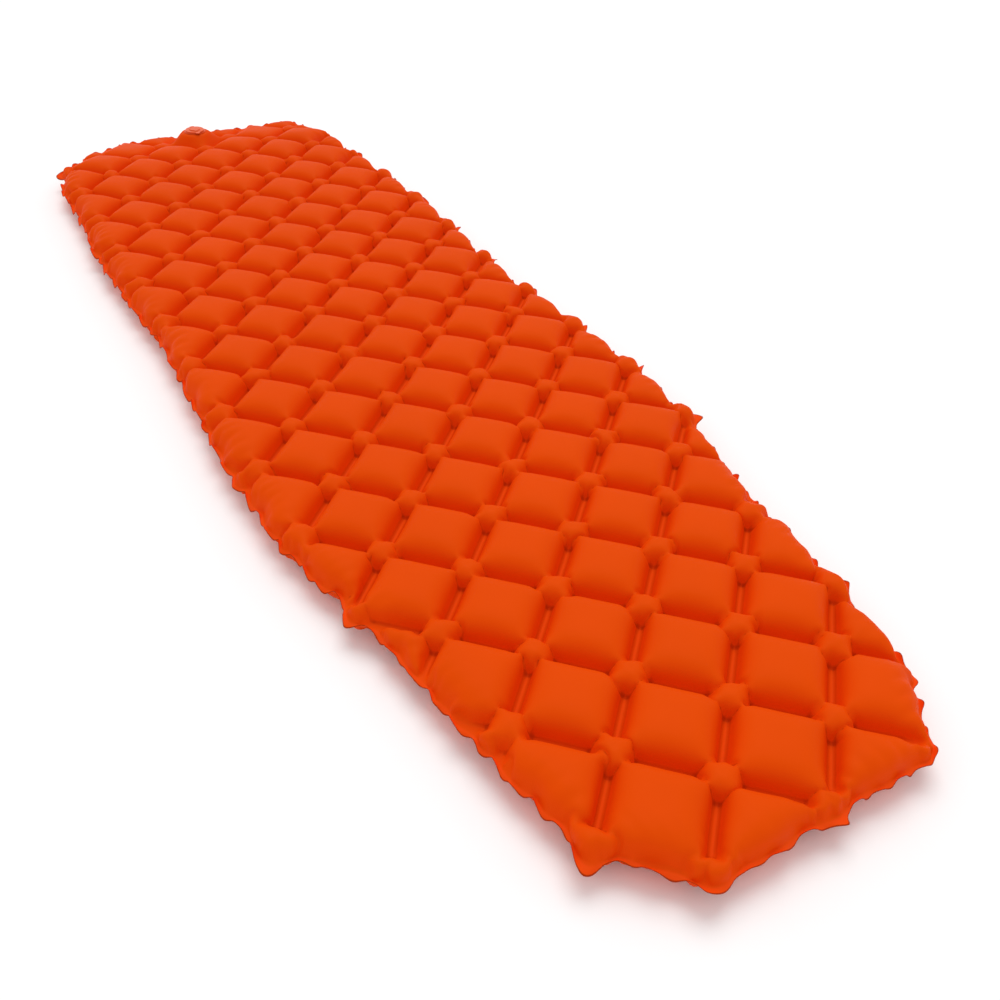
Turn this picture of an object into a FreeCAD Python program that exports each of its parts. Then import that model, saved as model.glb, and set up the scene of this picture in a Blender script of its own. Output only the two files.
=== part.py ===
import FreeCAD, Part
import math
import os

# Inflatable sleeping pad, inflated, lying flat.
# Two coated fabric sheets are welded together along a flange all round and along short bands
# that make a lattice of diamond cells, with a two-stage air valve in the last cell of the head end.
# Millimetres. +Y is the head end, +Z is up, and the origin is on the floor under the pad's middle.

# --- driving dimensions: the pad ---------------------------------------------------------------
STEP = 67.0               # half the diagonal of a quilt cell, and the spacing of the lattice's rows
ROWS = 15                 # rows of the lattice to go through on each side of the middle
COLUMNS = 5               # columns of the lattice to go through on each side of the middle
THICKNESS = 54.0          # crown to crown, inflated
WALL = 1.0                # a sheet's fabric and coating, drawn thicker than the real 0.3
CROWN_REACH = 33.0        # cell centre to a corner of its flat crown
NECK_RISE = 9.0           # how far the air necks and the junction bumps between them stand up
BAND_WIDTH = 8.0          # weld band between two cells
BAND_GAP = 20.0           # lattice junction to the end of a weld band
EDGE_ROUND = 24.0         # distance over which the pad rounds down to its edge weld
FLANGE_SHORT = 9.0        # width of the edge weld between two lattice junctions
FLANGE_LONG = 14.0        # width of the edge weld at a lattice junction

# Half of the edge weld's inner line, from the middle of the foot end to the middle of the head end.
FOOT_Y, HEAD_Y = -938.0, 938.0
HALF_WIDTH = 277.0
EDGE_HALF = (
    (129.0, FOOT_Y),          # foot end, straight
    (190.0, -868.0),          # foot corner, cut off
    (HALF_WIDTH, -385.0),     # end of the taper towards the feet
    (HALF_WIDTH, 735.0),      # start of the rounded head corner
    (268.0, 790.0),
    (247.0, 842.0),
    (216.0, 894.0),
    (180.0, HEAD_Y),
)

# --- driving dimensions: the valve -------------------------------------------------------------
VALVE_CELL = (0, 13)      # the cell whose crown holds the valve
VALVE_CROWN_REACH = 42.0  # that cell's crown is wider, to hold the valve's weld disc
DISC_RADIUS = 26.0
DISC_THICK = 1.2
COLLAR_RADIUS = 18.5
COLLAR_TOP = 3.0          # heights in the valve are above the crown
BORE_RADIUS = 15.2
RING_RADIUS = 20.4        # tether ring round the collar
RING_LOW, RING_HIGH = 0.4, 1.7
GROOVE_DEPTH = 0.8        # the ring's groove in the collar
PLUG_RADIUS = 18.3
PLUG_TOP = 4.6
SKIRT_TOP_RADIUS = 14.9
SKIRT_LOW_RADIUS = 14.5
SKIRT_LOW = -2.4
PORT_RADIUS = 7.0         # inflation bore through the plug
TUBE_RADIUS = 8.4
CAP_RADIUS = 10.5
CAP_LOW, CAP_TOP = 4.7, 6.2
STEM_LOW = 1.2
STEM_TOP_RADIUS = 6.8
STEM_LOW_RADIUS = 6.3
STEM_WALL = 1.25
STEM_HOLLOW = 0.3         # how far the stem's hollow goes up into the cap
SEAL_THICK = 0.6
PLUG_FOLD = (21.0, 3.75)      # fold line of the plug's strap: distance towards the head, height
CAP_FOLD = (-12.6, 5.35)      # fold line of the cap's strap
FLAP_HINGE = (11.0, -3.0)     # bead of the check flap
STRAP_THICK = 1.1
PLUG_STRAP_WIDTH = 9.0
CAP_STRAP_WIDTH = 6.0
FOLD_GAP = 0.1                # between a strap's rolled end and its seat
FOLD_LIP = 0.4                # the seat's lips stop this far below the fold line
SEAT_SPARE = 1.0              # a fold's seat is this much longer than the strap is wide
FLAP_RADIUS = 8.5
FLAP_THICK = 0.7
FLAP_GAP = 0.1                # between the flap and the cross that it closes against
FLAP_NECK = 3.2               # width of the flap's neck, between the two clips
BEAD_LENGTH, BEAD_RADIUS = 7.4, 0.75
CLIP_PLACE, CLIP_WIDTH = 2.6, 1.3
CLIP_RADIUS, CLIP_EYE, CLIP_MOUTH = 1.6, 0.9, 1.2
POST_THICK = 2.0
CROSS_WIDTH, CROSS_HEIGHT = 1.2, 1.4
SHELL = 1.6                   # wall of the plug's skirt and web
COLLAR_BEVEL = 0.4
PLUG_BEVEL = 0.3
CAP_BEVEL = 0.5
RIM_GAP = 0.1                 # the plug's rim stops this far above the collar
PLUG_TAB = (9.0, 7.5)         # width of the pull tab, and how far it stands out from the rim
CAP_TAB = (7.0, 6.5)
PLUG_SEAL = (17.4, 15.5)      # outer and inner radius
CAP_SEAL = (9.4, 7.4)
SEAL_LIFT = 0.05              # a seal's gap to the face that it closes on

# --- worked out --------------------------------------------------------------------------------
MID = THICKNESS / 2.0                    # height of the weld plane, where the two sheets meet
CROWN_RISE = MID - WALL                  # crown above the sheet's own level at a weld
SLANT = math.sqrt(0.5)
QUARTERS = ((1, 0), (0, 1), (-1, 0), (0, -1))
VALVE_PLACE = FreeCAD.Vector(VALVE_CELL[0] * STEP, VALVE_CELL[1] * STEP, THICKNESS)


# --- the edge of the pad -----------------------------------------------------------------------
def edge_line(inset):
    """The edge weld's inner line moved in by inset, anticlockwise, as points."""
    corners = list(EDGE_HALF) + [(-x, y) for x, y in reversed(EDGE_HALF)]
    sides = []
    for start, end in zip(corners, corners[1:] + corners[:1]):
        sides.append(side_of(start, end, inset))
    return [crossing(before, after) for before, after in zip(sides[-1:] + sides[:-1], sides)]


def side_of(start, end, inset):
    """A straight side as (nx, ny, reach): inside it, nx*x + ny*y is less than reach."""
    length = math.hypot(end[0] - start[0], end[1] - start[1])
    nx, ny = (end[1] - start[1]) / length, (start[0] - end[0]) / length
    return nx, ny, nx * start[0] + ny * start[1] - inset


def crossing(first, second):
    """Where two sides meet."""
    spread = first[0] * second[1] - first[1] * second[0]
    x = (first[2] * second[1] - first[1] * second[2]) / spread
    y = (first[0] * second[2] - first[2] * second[0]) / spread
    return x, y


def sides_of(line):
    return [side_of(start, end, 0.0) for start, end in zip(line, line[1:] + line[:1])]


def edge_rise(distance):
    """How high the pad can stand at a distance inside its edge weld: a quarter ellipse."""
    part = min(max(distance, 0.0), EDGE_ROUND) / EDGE_ROUND
    return CROWN_RISE * math.sqrt(1.0 - (1.0 - part) ** 2)


def ear(x, y):
    """1 where a lattice junction lies on the edge, 0 midway between two."""
    column, row = x / STEP, y / STEP
    across = abs((column - row) / 2.0 - round((column - row) / 2.0))
    along = abs((column + row) / 2.0 - round((column + row) / 2.0))
    return 1.0 - 2.0 * max(across, along)


def flange_outline():
    """The cut edge of the sheets: wider at each lattice junction, narrower between them."""
    points = []
    line = edge_line(0.0)
    sides = sides_of(line)
    for number, start in enumerate(line):
        end = line[(number + 1) % len(line)]
        nx, ny, _ = sides[number]
        before_x, before_y, _ = sides[number - 1]
        meeting = 1.0 + nx * before_x + ny * before_y
        points.append(flange_point(start, ((nx + before_x) / meeting, (ny + before_y) / meeting)))
        for share in lattice_shares(start, end):
            x = start[0] + share * (end[0] - start[0])
            y = start[1] + share * (end[1] - start[1])
            points.append(flange_point((x, y), (nx, ny)))
    return points


def flange_point(place, way_out):
    width = FLANGE_SHORT + (FLANGE_LONG - FLANGE_SHORT) * ear(*place)
    return place[0] + way_out[0] * width, place[1] + way_out[1] * width


def lattice_shares(start, end):
    """Where the lattice's rows, or its columns on an end, cross a side, as shares of its length."""
    axis = 0 if abs(end[0] - start[0]) > abs(end[1] - start[1]) else 1
    low, high = sorted((start[axis], end[axis]))
    crossings = [number * STEP for number in range(-ROWS, ROWS + 1)]
    shares = [(place - start[axis]) / (end[axis] - start[axis])
              for place in crossings if low + STEP / 4.0 < place < high - STEP / 4.0]
    return sorted(shares)


# --- the quilted surface, as tiles of (x, y, rise) ----------------------------------------------
def at(centre, u, v, quarter, rise):
    """A point u along a quarter direction and v along the next one, from a centre."""
    ax, ay = QUARTERS[quarter % 4]
    bx, by = QUARTERS[(quarter + 1) % 4]
    return centre[0] + u * ax + v * bx, centre[1] + u * ay + v * by, rise


def cell_tiles(column, row, spread, whole, necks):
    """One puffed cell: crown, four slopes down to the weld bands, and its four corners."""
    centre = (column * STEP, row * STEP)
    reach = VALVE_CROWN_REACH if (column, row) == VALVE_CELL else CROWN_REACH
    reach -= spread
    far = STEP - band_far(spread)
    near = band_near(spread)
    crown = [at(centre, reach, 0.0, quarter, CROWN_RISE) for quarter in range(4)]
    tiles = []
    if whole:
        tiles.append(crown)
    for quarter in range(4):
        corner, following = crown[quarter], crown[(quarter + 1) % 4]
        neck = at(centre, far, 0.0, quarter, NECK_RISE)
        left = at(centre, far, near, quarter, 0.0)
        right = at(centre, far, -near, quarter, 0.0)
        left_far = at(centre, near, far, quarter, 0.0)
        tiles.append([corner, left, left_far, following])
        if necks:
            tiles.append([corner, neck, left])
            tiles.append([corner, right, neck])
        else:
            tiles.append([corner, right, left])
        if not whole:
            tiles.append([(centre[0], centre[1], CROWN_RISE), corner, following])
    return tiles


def junction_tiles(column, row, spread, whole):
    """The small bump where four cells meet, between the ends of four weld bands."""
    centre = (column * STEP, row * STEP)
    far, near = band_far(spread), band_near(spread)
    top = [at(centre, far, 0.0, quarter, NECK_RISE) for quarter in range(4)]
    tiles = [top] if whole else []
    for quarter in range(4):
        corner, following = top[quarter], top[(quarter + 1) % 4]
        left = at(centre, far, near, quarter, 0.0)
        right = at(centre, near, far, quarter, 0.0)
        tiles.append([corner, left, right, following])
        if not whole:
            tiles.append([(centre[0], centre[1], NECK_RISE), corner, following])
    return tiles


def band_tiles(column, row, spread):
    """The two weld bands that leave a junction towards +X: flat strips."""
    centre = (column * STEP, row * STEP)
    far, near = band_far(spread), band_near(spread)
    tiles = []
    for quarter in (0, 3):
        tiles.append([
            at(centre, far, near, quarter, 0.0),
            at(centre, STEP - near, STEP - far, quarter, 0.0),
            at(centre, STEP - far, STEP - near, quarter, 0.0),
            at(centre, near, far, quarter, 0.0),
        ])
    return tiles


def band_far(spread):
    """Junction to a band's end corner, along a quarter direction."""
    return (BAND_GAP - spread + BAND_WIDTH / 2.0 + spread) * SLANT


def band_near(spread):
    """Junction to the same corner, across that direction."""
    return (BAND_GAP - spread - BAND_WIDTH / 2.0 - spread) * SLANT


def clipped(tile, sides):
    """The part of a tile inside all the sides; new corners are on the edge weld, at no height."""
    for nx, ny, reach in sides:
        kept = []
        for start, end in zip(tile, tile[1:] + tile[:1]):
            before = nx * start[0] + ny * start[1] - reach
            after = nx * end[0] + ny * end[1] - reach
            if before <= 0.0:
                kept.append(start)
            if before * after < 0.0:
                share = before / (before - after)
                kept.append((start[0] + share * (end[0] - start[0]),
                             start[1] + share * (end[1] - start[1]), 0.0))
        tile = kept
        if len(tile) < 3:
            return []
    return tile


def skin_tiles(spread, line, necks):
    """Every tile of one quilted surface inside the edge line, each corner at its height."""
    sides = sides_of(line)
    tiles = []
    for row in range(-ROWS, ROWS + 1):
        for column in range(-COLUMNS, COLUMNS + 1):
            whole = depth(column * STEP, row * STEP, sides) > 0.9 * STEP
            if (column + row) % 2:
                tiles += cell_tiles(column, row, spread, whole, necks)
            elif necks:
                tiles += junction_tiles(column, row, spread, whole)
                tiles += band_tiles(column, row, spread)
    placed = [settled(clipped(tile, sides), sides) for tile in tiles]
    return [tile for tile in placed if len(tile) > 2]


def depth(x, y, sides):
    """Distance inside the edge line."""
    return min(reach - nx * x - ny * y for nx, ny, reach in sides)


def settled(tile, sides):
    """A tile with each corner no higher than the pad's rounded edge allows, and rounded off."""
    corners = []
    for x, y, rise in tile:
        height = min(rise, edge_rise(depth(x, y, sides)))
        corner = (round(x, 4), round(y, 4), round(height, 4))
        if not corners or corner[:2] != corners[-1][:2]:
            corners.append(corner)
    if corners and corners[0][:2] == corners[-1][:2]:
        corners.pop()
    return corners


def flat_pieces(tile, level):
    """A tile as flat polygons: whole if its corners are in one plane, else a fan from its top."""
    points = [FreeCAD.Vector(x, y, rise + level) for x, y, rise in tile]
    if len(points) > 3 and not is_flat(points):
        top = max(range(len(points)), key=lambda number: points[number].z)
        points = points[top:] + points[:top]
        return [[points[0], a, b] for a, b in zip(points[1:], points[2:])]
    return [points]


def is_flat(points):
    normal = (points[1] - points[0]).cross(points[2] - points[0])
    if normal.Length < 1e-6:
        return False
    normal.normalize()
    return all(abs((point - points[0]).dot(normal)) < 1e-4 for point in points[3:])


def polygon_face(points):
    return Part.Face(Part.makePolygon(points + points[:1]))


def skin_faces(tiles, level):
    faces = []
    for tile in tiles:
        for points in flat_pieces(tile, level):
            if polygon_area(points) > 1e-3:
                faces.append(polygon_face(points))
    return faces


def polygon_area(points):
    total = FreeCAD.Vector()
    for a, b in zip(points[1:], points[2:]):
        total += (a - points[0]).cross(b - points[0])
    return total.Length / 2.0


def open_loops(tiles):
    """The loops of tile edges that no other tile shares: where the surface meets the welds."""
    edges = set()
    for tile in tiles:
        edges.update(zip(tile, tile[1:] + tile[:1]))
    following = {start: end for start, end in edges if (end, start) not in edges}
    loops = []
    while following:
        first, place = following.popitem()
        loop = [first]
        while place != first:
            loop.append(place)
            place = following.pop(place)
        loops.append(loop)
    return loops


def weld_face(outline, loops, level):
    """The flat face inside the cut edge of the sheet and outside the loops."""
    outer = [FreeCAD.Vector(x, y, level) for x, y in outline]
    wires = [Part.makePolygon(outer + outer[:1])]
    for loop in loops:
        hole = [FreeCAD.Vector(x, y, level) for x, y, _ in reversed(loop)]
        wires.append(Part.makePolygon(hole + hole[:1]))
    return Part.Face(wires)


def rim_faces(outline):
    faces = []
    for (x1, y1), (x2, y2) in zip(outline, outline[1:] + outline[:1]):
        low_a, low_b = FreeCAD.Vector(x1, y1, 0.0), FreeCAD.Vector(x2, y2, 0.0)
        high_a, high_b = FreeCAD.Vector(x1, y1, WALL), FreeCAD.Vector(x2, y2, WALL)
        faces.append(polygon_face([low_a, low_b, high_b, high_a]))
    return faces


def quilted_sheet():
    """One sheet as a thin closed solid, its weld faces at height 0 and its crowns up.

    Outside, the cells join through raised necks. Inside, each cell is a chamber of its own.
    """
    outline = flange_outline()
    faces = rim_faces(outline)
    for spread, level, necks in ((0.0, WALL, True), (WALL, 0.0, False)):
        tiles = skin_tiles(spread, edge_line(spread), necks)
        faces += skin_faces(tiles, level)
        faces.append(weld_face(outline, open_loops(tiles), level))
    shell = Part.makeShell(faces)
    shell.sewShape()
    solid = Part.makeSolid(shell)
    if solid.Volume < 0:
        solid.reverse()
    return solid


# --- the valve, about its own axis, heights above the crown ---------------------------------------
def turned(profile):
    """A solid of revolution from (radius, height) points."""
    points = [FreeCAD.Vector(radius, 0.0, height) for radius, height in profile]
    return polygon_face(points).revolve(FreeCAD.Vector(), FreeCAD.Vector(0, 0, 1), 360)


def ring(outer, inner, low, high):
    return turned([(inner, low), (outer, low), (outer, high), (inner, high)])


def bar(width, y_low, y_high, z_low, z_high):
    """A bar centred on the valve's middle plane."""
    size = (width, y_high - y_low, z_high - z_low)
    return Part.makeBox(*size, FreeCAD.Vector(-width / 2.0, y_low, z_low))


def roll(width, radius, place):
    """A round bar across the valve, centred on place, a (y, z) pair."""
    start = FreeCAD.Vector(-width / 2.0, place[0], place[1])
    return Part.makeCylinder(radius, width, start, FreeCAD.Vector(1, 0, 0))


def tongue(width, y_root, y_tip, z_low, z_high):
    """A pull tab: a flat strip with a half-round end."""
    way = 1.0 if y_tip > y_root else -1.0
    y_round = y_tip - way * width / 2.0
    strip = bar(width, min(y_root, y_round), max(y_root, y_round), z_low, z_high)
    end = Part.makeCylinder(width / 2.0, z_high - z_low, FreeCAD.Vector(0, y_round, z_low))
    return strip.fuse(end)


def make_valve_base():
    """Weld disc under the sheet, and the collar that stands through it, grooved for the ring."""
    neck = COLLAR_RADIUS - GROOVE_DEPTH
    return turned([
        (BORE_RADIUS, -WALL - DISC_THICK),
        (DISC_RADIUS, -WALL - DISC_THICK),
        (DISC_RADIUS, -WALL),
        (COLLAR_RADIUS, -WALL),
        (COLLAR_RADIUS, RING_LOW - RIM_GAP),
        (neck, RING_LOW),
        (neck, RING_HIGH),
        (COLLAR_RADIUS, RING_HIGH + COLLAR_BEVEL),
        (COLLAR_RADIUS, COLLAR_TOP - COLLAR_BEVEL),
        (COLLAR_RADIUS - COLLAR_BEVEL, COLLAR_TOP),
        (BORE_RADIUS, COLLAR_TOP),
    ])


def make_tether_ring():
    """Ring snapped round the collar, with the block on which the plug's strap folds."""
    hoop = ring(RING_RADIUS, COLLAR_RADIUS - GROOVE_DEPTH, RING_LOW, RING_HIGH)
    fold_y, fold_z = PLUG_FOLD
    block = bar(PLUG_STRAP_WIDTH, RING_RADIUS - 1.2, fold_y + 1.6, RING_LOW, fold_z - FOLD_LIP)
    seat_radius = STRAP_THICK / 2.0 + FOLD_GAP
    seat = roll(PLUG_STRAP_WIDTH + SEAT_SPARE, seat_radius, PLUG_FOLD)
    way_in = bar(PLUG_STRAP_WIDTH + SEAT_SPARE, 0.0, fold_y, fold_z - seat_radius, fold_z)
    return hoop.fuse(block).cut(seat).cut(way_in)


def strap(width, fold, root):
    """A thin strap from its rolled end on the fold line to its root on the moulding."""
    fold_y, fold_z = fold
    low, high = fold_z - STRAP_THICK / 2.0, fold_z + STRAP_THICK / 2.0
    strip = bar(width, min(fold_y, root), max(fold_y, root), low, high)
    return strip.fuse(roll(width, STRAP_THICK / 2.0, fold))


def make_plug_strap():
    """Cut round to butt against the plug's rim."""
    shape = strap(PLUG_STRAP_WIDTH, PLUG_FOLD, PLUG_RADIUS - 2.0)
    return shape.cut(ring(PLUG_RADIUS, 1.0, 0.0, CAP_TOP))


def make_deflate_plug():
    """Tapered double-walled plug with the inflation bore, the cap's seat, and the flap's clips."""
    skirt_inner = SKIRT_LOW_RADIUS - SHELL
    web = COLLAR_TOP - SHELL
    body = turned([
        (PORT_RADIUS, SKIRT_LOW),
        (TUBE_RADIUS, SKIRT_LOW),
        (TUBE_RADIUS, web),
        (skirt_inner, web),
        (skirt_inner, SKIRT_LOW),
        (SKIRT_LOW_RADIUS, SKIRT_LOW),
        (SKIRT_TOP_RADIUS, COLLAR_TOP + RIM_GAP),
        (PLUG_RADIUS, COLLAR_TOP + RIM_GAP),
        (PLUG_RADIUS, PLUG_TOP - PLUG_BEVEL),
        (PLUG_RADIUS - PLUG_BEVEL, PLUG_TOP),
        (PORT_RADIUS, PLUG_TOP),
    ])
    body = body.cut(plug_seal_ring())
    tab_width, tab_reach = PLUG_TAB
    tab_low = COLLAR_TOP + SEAL_THICK + RIM_GAP
    body = body.fuse(tongue(tab_width, 1.0 - PLUG_RADIUS, -PLUG_RADIUS - tab_reach, tab_low, PLUG_TOP))
    body = body.fuse(spider())
    for side in (-1.0, 1.0):
        body = body.fuse(flap_clip(side * CLIP_PLACE, web))
    fold_y, fold_z = CAP_FOLD
    block = bar(CAP_STRAP_WIDTH, fold_y - 1.3, fold_y + 1.0, PLUG_TOP - 0.2, fold_z - FOLD_LIP)
    seat_radius = STRAP_THICK / 2.0 + FOLD_GAP
    seat = roll(CAP_STRAP_WIDTH + SEAT_SPARE, seat_radius, CAP_FOLD)
    way_in = bar(CAP_STRAP_WIDTH + SEAT_SPARE, fold_y, fold_y + 2.0, fold_z - seat_radius, fold_z)
    return body.fuse(block.cut(seat).cut(way_in)).removeSplitter()


def spider():
    """Cross in the bottom of the inflation bore, which the flap closes against."""
    reach = (PORT_RADIUS + TUBE_RADIUS) / 2.0
    one = bar(CROSS_WIDTH, -reach, reach, SKIRT_LOW, SKIRT_LOW + CROSS_HEIGHT)
    other = one.copy()
    other.rotate(FreeCAD.Vector(), FreeCAD.Vector(0, 0, 1), 90)
    return one.fuse(other)


def flap_clip(x, top):
    """An open hook that the flap's bead snaps into, on a post under the plug's web."""
    y, z = FLAP_HINGE
    left = x - CLIP_WIDTH / 2.0
    mouth_height = CLIP_RADIUS + 1.0
    across = FreeCAD.Vector(1, 0, 0)
    hook = Part.makeCylinder(CLIP_RADIUS, CLIP_WIDTH, FreeCAD.Vector(left, y, z), across)
    eye = Part.makeCylinder(CLIP_EYE, CLIP_WIDTH, FreeCAD.Vector(left, y, z), across)
    post = Part.makeBox(CLIP_WIDTH, POST_THICK, top - z, FreeCAD.Vector(left, y - POST_THICK / 2.0, z))
    mouth_place = FreeCAD.Vector(left, y - CLIP_MOUTH / 2.0, z - mouth_height)
    mouth = Part.makeBox(CLIP_WIDTH, CLIP_MOUTH, mouth_height, mouth_place)
    return hook.fuse(post).cut(eye).cut(mouth)


def plug_seal_ring():
    low = COLLAR_TOP + SEAL_LIFT
    return ring(*PLUG_SEAL, low, low + SEAL_THICK)


def cap_seal_ring():
    low = CAP_LOW - SEAL_LIFT
    return ring(*CAP_SEAL, low, low + SEAL_THICK)


def make_check_flap():
    """Thin disc that closes the inflation bore from below, with a bead for its hinge."""
    top = SKIRT_LOW - FLAP_GAP
    disc = Part.makeCylinder(FLAP_RADIUS, FLAP_THICK, FreeCAD.Vector(0, 0, top - FLAP_THICK))
    neck = bar(FLAP_NECK, FLAP_RADIUS - 1.0, FLAP_HINGE[0], top - FLAP_THICK, top)
    bead = roll(BEAD_LENGTH, BEAD_RADIUS, FLAP_HINGE)
    return disc.fuse(neck).fuse(bead)


def make_inflate_cap():
    """Small cap: a disc with a hollow tapered stem that pushes into the inflation bore."""
    body = turned([
        (0.0, CAP_LOW + STEM_HOLLOW),
        (STEM_TOP_RADIUS - STEM_WALL, CAP_LOW + STEM_HOLLOW),
        (STEM_LOW_RADIUS - STEM_WALL, STEM_LOW),
        (STEM_LOW_RADIUS, STEM_LOW),
        (STEM_TOP_RADIUS, CAP_LOW),
        (CAP_RADIUS, CAP_LOW),
        (CAP_RADIUS, CAP_TOP - CAP_BEVEL),
        (CAP_RADIUS - CAP_BEVEL, CAP_TOP),
        (0.0, CAP_TOP),
    ])
    body = body.cut(cap_seal_ring())
    tab_width, tab_reach = CAP_TAB
    tab_low, tab_high = CAP_LOW + 0.3, CAP_TOP - 0.2
    return body.fuse(tongue(tab_width, CAP_RADIUS - 1.0, CAP_RADIUS + tab_reach, tab_low, tab_high))


def make_cap_strap():
    """Cut round to butt against the cap's rim."""
    shape = strap(CAP_STRAP_WIDTH, CAP_FOLD, 1.5 - CAP_RADIUS)
    return shape.cut(ring(CAP_RADIUS, 1.0, 0.0, CAP_TOP + 1.0))


# --- all the pieces ------------------------------------------------------------------------------
def make_sheets():
    top = quilted_sheet()
    bottom = top.mirror(FreeCAD.Vector(), FreeCAD.Vector(0, 0, 1))
    for sheet in (top, bottom):
        sheet.translate(FreeCAD.Vector(0, 0, MID))
    hole_low = VALVE_PLACE - FreeCAD.Vector(0, 0, 2.0 * WALL)
    hole = Part.makeCylinder(COLLAR_RADIUS + FOLD_GAP, 4.0 * WALL, hole_low)
    return {"top_sheet": top.cut(hole), "bottom_sheet": bottom}


def make_valve():
    pieces = {
        "valve_base": make_valve_base(),
        "tether_ring": make_tether_ring(),
        "deflate_plug": make_deflate_plug(),
        "plug_strap": make_plug_strap(),
        "plug_seal": plug_seal_ring(),
        "check_flap": make_check_flap(),
        "inflate_cap": make_inflate_cap(),
        "cap_strap": make_cap_strap(),
        "cap_seal": cap_seal_ring(),
    }
    for piece in pieces.values():
        piece.translate(VALVE_PLACE)
    return pieces


os.makedirs("parts", exist_ok=True)
for name, shape in {**make_sheets(), **make_valve()}.items():
    shape.exportStep(f"parts/{name}.step")
    print(name, len(shape.Solids), shape.isValid(), round(shape.Volume / 1000.0, 3), "cm3", shape.BoundBox)
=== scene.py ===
import math

import bmesh
import bpy
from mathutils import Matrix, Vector
from mathutils.geometry import delaunay_2d_cdt


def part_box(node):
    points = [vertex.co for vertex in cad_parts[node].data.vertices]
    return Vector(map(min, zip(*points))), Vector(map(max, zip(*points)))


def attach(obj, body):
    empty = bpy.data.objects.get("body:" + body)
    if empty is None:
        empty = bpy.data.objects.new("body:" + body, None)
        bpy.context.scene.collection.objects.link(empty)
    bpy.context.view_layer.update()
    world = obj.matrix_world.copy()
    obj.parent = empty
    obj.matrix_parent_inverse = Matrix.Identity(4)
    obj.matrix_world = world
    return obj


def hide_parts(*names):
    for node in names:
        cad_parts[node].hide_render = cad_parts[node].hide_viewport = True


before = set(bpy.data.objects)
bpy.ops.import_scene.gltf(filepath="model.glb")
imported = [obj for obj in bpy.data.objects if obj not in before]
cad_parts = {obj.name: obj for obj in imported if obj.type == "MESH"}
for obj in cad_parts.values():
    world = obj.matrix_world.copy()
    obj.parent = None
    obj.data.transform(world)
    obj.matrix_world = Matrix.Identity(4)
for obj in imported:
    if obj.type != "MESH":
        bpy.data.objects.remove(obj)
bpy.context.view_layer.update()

bl_info = {
    "name": "Inflatable sleeping pad",
    "version": (1, 0, 0),
    "blender": (4, 5, 0),
    "location": "View3D > Sidebar > Sleeping Pad",
    "description": "Inflates the quilted pad, and finishes its fabric and its valve",
    "category": "Object",
}

# The parts in model.glb give the pad's thickness, its weld plane and where the valve is.
PAD_LOW, PAD_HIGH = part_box("bottom_sheet")[0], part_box("top_sheet")[1]
WELD_PLANE = (PAD_LOW[2] + PAD_HIGH[2]) / 2.0
COLLAR_LOW, COLLAR_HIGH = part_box("valve_base")
VALVE_X = (COLLAR_LOW[0] + COLLAR_HIGH[0]) / 2.0
VALVE_Y = (COLLAR_LOW[1] + COLLAR_HIGH[1]) / 2.0
CROWN_TOP = PAD_HIGH[2]

# The corners of the edge weld's inner line, anticlockwise from the foot end, as x and y.
EDGE_LINE = (
    (0.120, -0.937),
    (0.185, -0.860),
    (0.272, -0.385),
    (0.272, 0.560),
    (0.260, 0.790),
    (0.245, 0.870),
    (0.222, 0.926),
    (-0.118, 0.930),
    (-0.196, 0.896),
    (-0.252, 0.842),
    (-0.295, 0.732),
    (-0.289, -0.400),
    (-0.206, -0.868),
    (-0.129, -0.938),
)
CORNER_PASSES = 12
# Past FOOT_FROM the seam lies further out, over FOOT_BLEND, and its lobes lose this share.
FOOT_FROM, FOOT_BLEND, FOOT_CALM = -0.86, 0.06, 0.6
# The long edges wander in and out: only beyond LONG_EDGE from the middle line, and not near the ends.
LONG_EDGE = 0.2
SWAY_END, SWAY_FADE = 0.75, 0.15
SWAY_START, SWAY_LENGTH = 0.24, 0.63
# Waves over the pad, in radians a metre along x and y, that make the seam uneven.
UNEVEN_WAVES = ((37.0, 29.0), (-17.0, 61.0))
# Waves along the edge, in radians a metre, that keep ears, pleats, tips and gathers from being alike.
EAR_WAVE, PLEAT_WAVE, TIP_WAVE, GATHER_WAVE, GATHER_REACH_WAVE = 13.0, 17.0, 9.0, 41.0, 19.0
# How much a pleat narrows the flange, and how far the tip of an ear leans over, as shares of the width.
PLEAT_DRAW, TIP_LEAN = 0.4, 0.35
FLANGE_ROWS = 3

# What a point of the cloth is: free, on the edge weld, on the flange, on its cut edge, or held.
INSIDE, SEAM, FLANGE, RIM, HELD = 0, 1, 2, 3, 4
# The share of a cloth square that is kept clear beside the seam and the valve's disc.
CLEAR_SHARE = 0.6
# The slack sheet's height grows at this slope from this least height, and stays this low at the seam.
SLACK_SLOPE, SLACK_LEAST, SLACK_AT_SEAM = 0.6, 0.002, 0.9
# An edge cell has this much less spare fabric at a lattice junction.
JUNCTION_LESS = 0.4
# The cloth's shear stiffness as a share of its tension stiffness.
SHEAR_SHARE = 0.3

# The valve's disc keeps the top sheet flat round the collar; its first ring is the hole for the collar.
DISC_RADIUS = 0.0265
HOLE_RADIUS = 0.0186
DISC_RINGS = (HOLE_RADIUS, 0.0225, DISC_RADIUS)
DISC_POINTS = 40
# How far outside the disc's edge a point still counts as on it.
DISC_EDGE = 0.0001
# Between which distances from the valve the fabric is evened out, how often, and how much at a time.
RELAX_FROM, RELAX_REACH = DISC_RADIUS + 0.001, 0.070
RELAX_PASSES, RELAX_SHARE, RELAX_FADE = 16, 0.6, 2.5
# The pad's inside round the valve, from the hole down: radius, and depth below the crowns.
POCKET = (
    (0.0186, 0.0014),
    (0.0275, 0.0022),
    (0.0320, 0.0080),
    (0.0320, 0.0160),
    (0.0270, 0.0225),
    (0.0150, 0.0250),
)

# The bed side sinks between these places along the pad, but not within VALVE_CLEAR of the valve.
HEAD_FROM, HEAD_TO = 0.76, 0.92
VALVE_CLEAR = 0.030
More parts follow.
